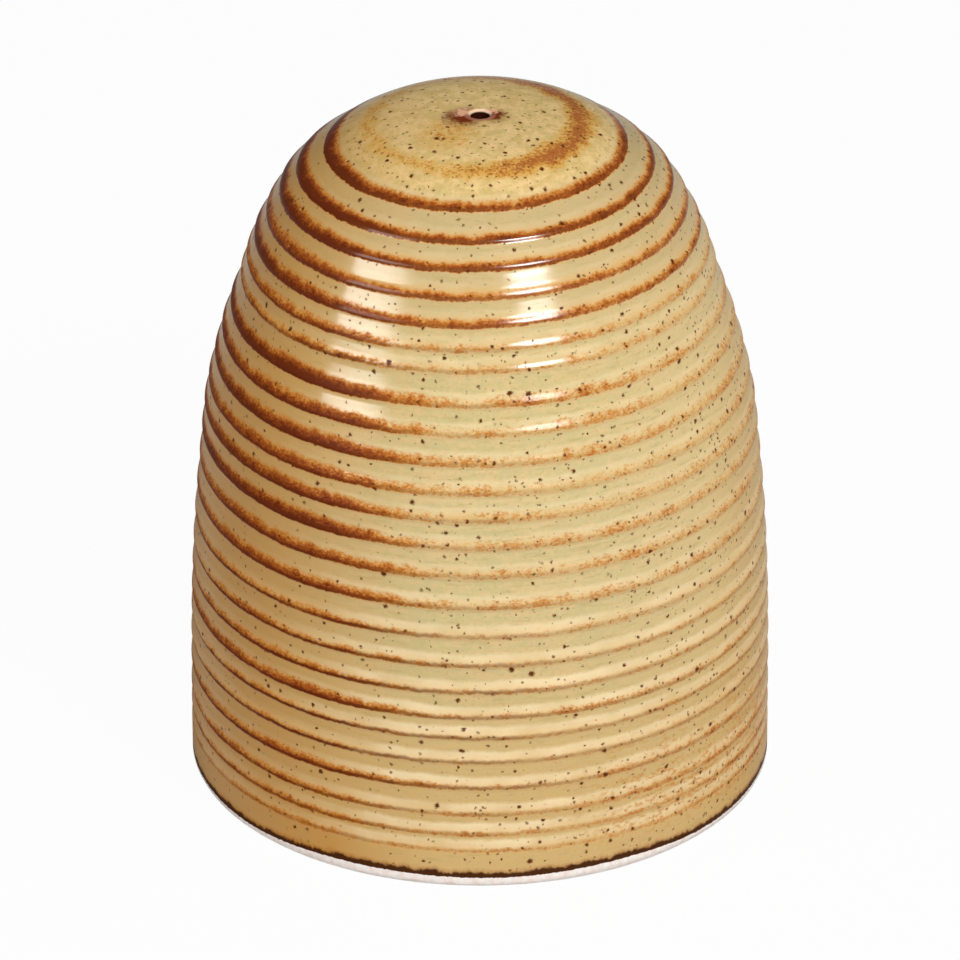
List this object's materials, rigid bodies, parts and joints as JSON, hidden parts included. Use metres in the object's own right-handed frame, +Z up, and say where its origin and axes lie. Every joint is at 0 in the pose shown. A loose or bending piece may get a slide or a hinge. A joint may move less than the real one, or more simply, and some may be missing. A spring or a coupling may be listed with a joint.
{
  "type": "pepper shaker",
  "caption": "Dome-shaped glazed stoneware shaker with turned rings, a small sprinkle hole on top and a pull-out stopper in the base for filling.",
  "frame": {"origin": "centre of the foot ring, on the surface that the shaker stands on", "axes": "+Z up along the shaker's turning axis, through the sprinkle hole; +X towards the stopper's pull tab"},
  "size_m": [0.0624, 0.0624, 0.076],
  "materials": {
    "glazed_stoneware": "gloss speckled glaze, brown on the ring crests, bare clay at the foot",
    "silicone": "matte, moulded"
  },
  "bodies": {
    "shaker": {"shaker_body": "glazed_stoneware"},
    "stopper": {"base_stopper": "silicone"}
  },
  "joints": [
    {"name": "stopper_pull", "type": "slide", "parent": "shaker", "child": "stopper", "axis": [0, 0, -1], "range_m": [0, 0.045]}
  ]
}
